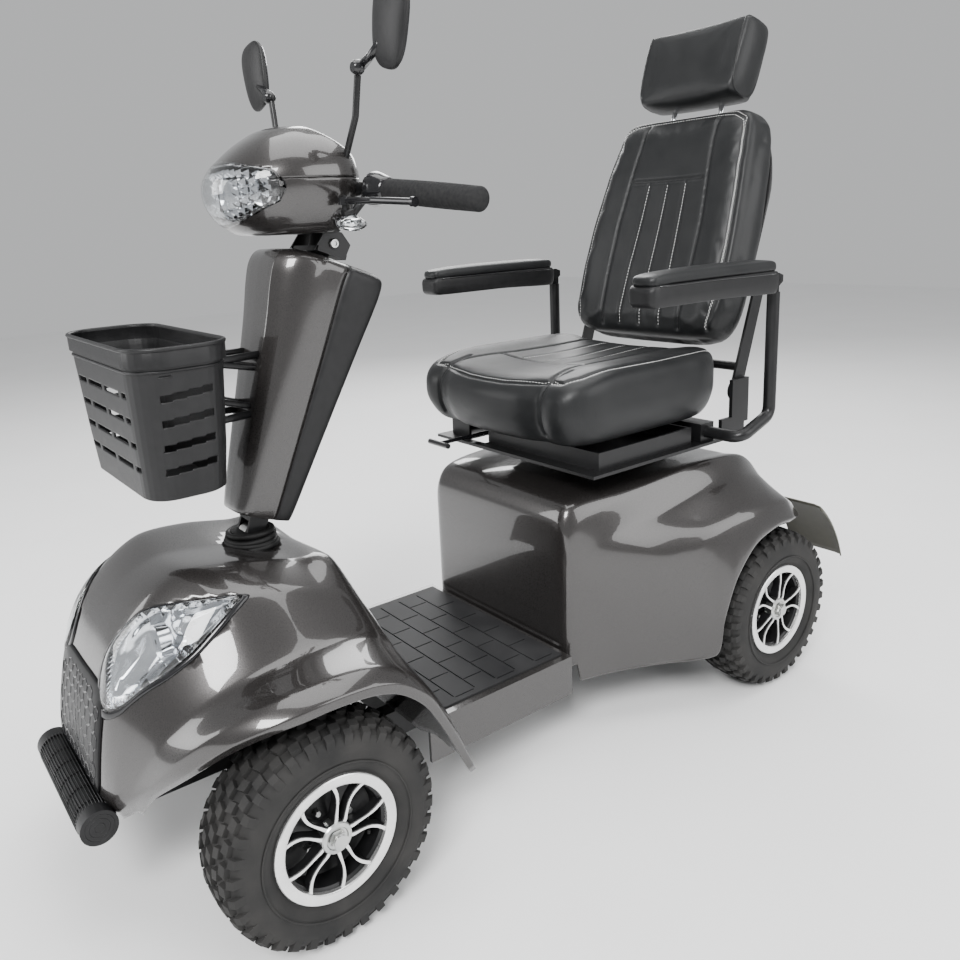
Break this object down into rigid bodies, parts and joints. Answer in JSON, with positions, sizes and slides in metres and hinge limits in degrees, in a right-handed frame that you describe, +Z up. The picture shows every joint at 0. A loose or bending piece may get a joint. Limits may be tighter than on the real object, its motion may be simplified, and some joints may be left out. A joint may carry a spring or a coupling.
{
  "type": "mobility scooter",
  "caption": "Four-wheel mobility scooter with a steering tiller and basket, a swivel captain seat with flip-up arms, a flat foot deck and a covered rear drive.",
  "frame": {"origin": "on the ground, at the centre of the overall length and width, steering straight ahead", "axes": "+X to the driver's left, +Y to the rear, +Z up"},
  "size_m": [0.704, 1.5495, 1.3592],
  "materials": {
    "graphite": "glossy metallic graphite",
    "black_plastic": "satin black",
    "frame_black": "black powder coat",
    "zinc": "zinc plated",
    "alloy": "machined face over black",
    "tyre": "block tread",
    "rubber": "ribbed",
    "leather": "black with white stitching",
    "clear": "clear lens",
    "chrome": "bright reflector",
    "olive": "olive grey",
    "battery": "moulded case"
  },
  "bodies": {
    "chassis": {"main_frame": "frame_black", "floor_pan": "graphite", "floor_mat": "rubber", "front_shroud": "graphite", "front_grille": "black_plastic", "headlight_lenses": "clear", "headlight_reflectors": "chrome", "bumper_bar": "rubber", "rear_cover": "graphite", "rear_mudguards": "olive", "batteries": "battery", "transaxle": "frame_black", "seat_post": "zinc"},
    "steering": {"steering_shaft": "zinc", "tiller_boot": "rubber"},
    "tie_rod": {"tie_rod": "zinc"},
    "tiller": {"tiller_column": "frame_black", "tiller_cover_front": "graphite", "tiller_cover_rear": "black_plastic", "basket": "black_plastic", "head_shell_upper": "graphite", "head_shell_lower": "graphite", "headlamp_lens": "clear", "dash_panel": "black_plastic", "handlebar": "frame_black", "grips": "rubber", "indicators": "clear", "mirror_stems": "frame_black"},
    "speed_dial": {"speed_dial": "black_plastic"},
    "ignition_key": {"ignition_key": "zinc"},
    "brake_lever": {"brake_lever": "frame_black"},
    "throttle_lever": {"throttle_lever": "frame_black"},
    "turntable": {"seat_turntable": "frame_black"},
    "seat": {"seat_frame": "frame_black", "seat_cushion": "leather"},
    "slide_lever": {"slide_lever": "black_plastic"},
    "recline_lever": {"recline_lever": "black_plastic"},
    "back": {"back_frame": "frame_black", "backrest_cushion": "leather"},
    "headrest": {"headrest_posts": "chrome", "headrest_cushion": "leather"},
    "freewheel_lever": {"freewheel_lever": "frame_black"},
    "knuckle_left": {"knuckle_left": "zinc"},
    "wheel_front_left": {"tyre_front_left": "tyre", "rim_front_left": "alloy"},
    "wheel_rear_left": {"tyre_rear_left": "tyre", "rim_rear_left": "alloy", "half_shaft_left": "zinc"},
    "mirror_left": {"mirror_left": "black_plastic"},
    "arm_support_left": {"arm_frame_left": "frame_black"},
    "armrest_left": {"armrest_left": "leather"},
    "knuckle_right": {"knuckle_right": "zinc"},
    "wheel_front_right": {"tyre_front_right": "tyre", "rim_front_right": "alloy"},
    "wheel_rear_right": {"tyre_rear_right": "tyre", "rim_rear_right": "alloy", "half_shaft_right": "zinc"},
    "mirror_right": {"mirror_right": "black_plastic"},
    "arm_support_right": {"arm_frame_right": "frame_black"},
    "armrest_right": {"armrest_right": "leather"}
  },
  "joints": [
    {"name": "steer", "type": "hinge", "parent": "chassis", "child": "steering", "pos_m": [0, -0.4285, 0.3], "axis": [0, 0, 1], "range_deg": [-28, 28]},
    {"name": "tiller_tilt", "type": "hinge", "parent": "steering", "child": "tiller", "pos_m": [0, -0.4285, 0.5], "axis": [1, 0, 0], "range_deg": [0, 25]},
    {"name": "tie_rod_slide", "type": "slide", "parent": "chassis", "child": "tie_rod", "axis": [1, 0, 0], "range_m": [-0.0295, 0.0295]},
    {"name": "speed_dial_turn", "type": "hinge", "parent": "tiller", "child": "speed_dial", "pos_m": [0, -0.2585, 1.096], "axis": [0, 0.5708, 0.8211], "range_deg": [-135, 135]},
    {"name": "key_turn", "type": "hinge", "parent": "tiller", "child": "ignition_key", "pos_m": [-0.032, -0.2585, 1.096], "axis": [0, 0.5708, 0.8211], "range_deg": [0, 60]},
    {"name": "brake_squeeze", "type": "hinge", "parent": "tiller", "child": "brake_lever", "pos_m": [0.122, -0.2755, 1.01], "axis": [0, 0, 1], "range_deg": [0, 10], "stiffness_Nm_per_rad": 1},
    {"name": "throttle_squeeze", "type": "hinge", "parent": "tiller", "child": "throttle_lever", "pos_m": [-0.122, -0.2755, 1.01], "axis": [0, 0, -1], "range_deg": [0, 10], "stiffness_Nm_per_rad": 1},
    {"name": "seat_swivel", "type": "hinge", "parent": "chassis", "child": "turntable", "pos_m": [0, 0.3295, 0.46], "axis": [0, 0, 1], "range_deg": [-90, 90]},
    {"name": "seat_slide", "type": "slide", "parent": "turntable", "child": "seat", "axis": [0, 1, 0], "range_m": [-0.05, 0.05]},
    {"name": "slide_lever_lift", "type": "hinge", "parent": "seat", "child": "slide_lever", "pos_m": [-0.128, 0.2745, 0.533], "axis": [-1, 0, 0], "range_deg": [0, 5], "stiffness_Nm_per_rad": 20, "springref_deg": -5.73},
    {"name": "recline", "type": "hinge", "parent": "seat", "child": "back", "pos_m": [0, 0.5445, 0.61], "axis": [-1, 0, 0], "range_deg": [0, 30]},
    {"name": "recline_lever_lift", "type": "hinge", "parent": "seat", "child": "recline_lever", "pos_m": [-0.245, 0.5445, 0.61], "axis": [-1, 0, 0], "range_deg": [0, 20], "stiffness_Nm_per_rad": 2, "springref_deg": -11.46},
    {"name": "headrest_height", "type": "slide", "parent": "back", "child": "headrest", "axis": [0, 0.3256, 0.9455], "range_m": [0, 0.06]},
    {"name": "freewheel_turn", "type": "hinge", "parent": "chassis", "child": "freewheel_lever", "pos_m": [0.1, 0.4765, 0.488], "axis": [0, 0, 1], "range_deg": [0, 90]},
    {"name": "knuckle_left_turn", "type": "hinge", "parent": "chassis", "child": "knuckle_left", "pos_m": [0.205, -0.4905, 0.165], "axis": [0, 0, 1], "range_deg": [-23, 23]},
    {"name": "wheel_front_left_spin", "type": "hinge", "parent": "knuckle_left", "child": "wheel_front_left", "pos_m": [0.294, -0.4905, 0.165], "axis": [1, 0, 0], "continuous": true},
    {"name": "wheel_rear_left_spin", "type": "hinge", "parent": "chassis", "child": "wheel_rear_left", "pos_m": [0.294, 0.5465, 0.165], "axis": [1, 0, 0], "continuous": true},
    {"name": "mirror_left_turn", "type": "hinge", "parent": "tiller", "child": "mirror_left", "pos_m": [0.142, -0.2485, 1.19], "axis": [0, 0, 1], "range_deg": [-25, 25]},
    {"name": "arm_left_width", "type": "slide", "parent": "seat", "child": "arm_support_left", "axis": [1, 0, 0], "range_m": [0, 0.02]},
    {"name": "arm_left_flip", "type": "hinge", "parent": "arm_support_left", "child": "armrest_left", "pos_m": [0.303, 0.5425, 0.836], "axis": [-1, 0, 0], "range_deg": [0, 90]},
    {"name": "knuckle_right_turn", "type": "hinge", "parent": "chassis", "child": "knuckle_right", "pos_m": [-0.205, -0.4905, 0.165], "axis": [0, 0, 1], "range_deg": [-23, 23]},
    {"name": "wheel_front_right_spin", "type": "hinge", "parent": "knuckle_right", "child": "wheel_front_right", "pos_m": [-0.294, -0.4905, 0.165], "axis": [1, 0, 0], "continuous": true},
    {"name": "wheel_rear_right_spin", "type": "hinge", "parent": "chassis", "child": "wheel_rear_right", "pos_m": [-0.294, 0.5465, 0.165], "axis": [1, 0, 0], "continuous": true},
    {"name": "mirror_right_turn", "type": "hinge", "parent": "tiller", "child": "mirror_right", "pos_m": [-0.142, -0.2485, 1.19], "axis": [0, 0, 1], "range_deg": [-25, 25]},
    {"name": "arm_right_width", "type": "slide", "parent": "seat", "child": "arm_support_right", "axis": [-1, 0, 0], "range_m": [0, 0.02]},
    {"name": "arm_right_flip", "type": "hinge", "parent": "arm_support_right", "child": "armrest_right", "pos_m": [-0.303, 0.5425, 0.836], "axis": [-1, 0, 0], "range_deg": [0, 90]}
  ],
  "couplings": [
    {"joint": "tie_rod_slide", "follows": "steer", "m_per_rad": -0.06},
    {"joint": "knuckle_left_turn", "follows": "steer", "ratio": 0.8},
    {"joint": "knuckle_right_turn", "follows": "steer", "ratio": 0.8}
  ]
}
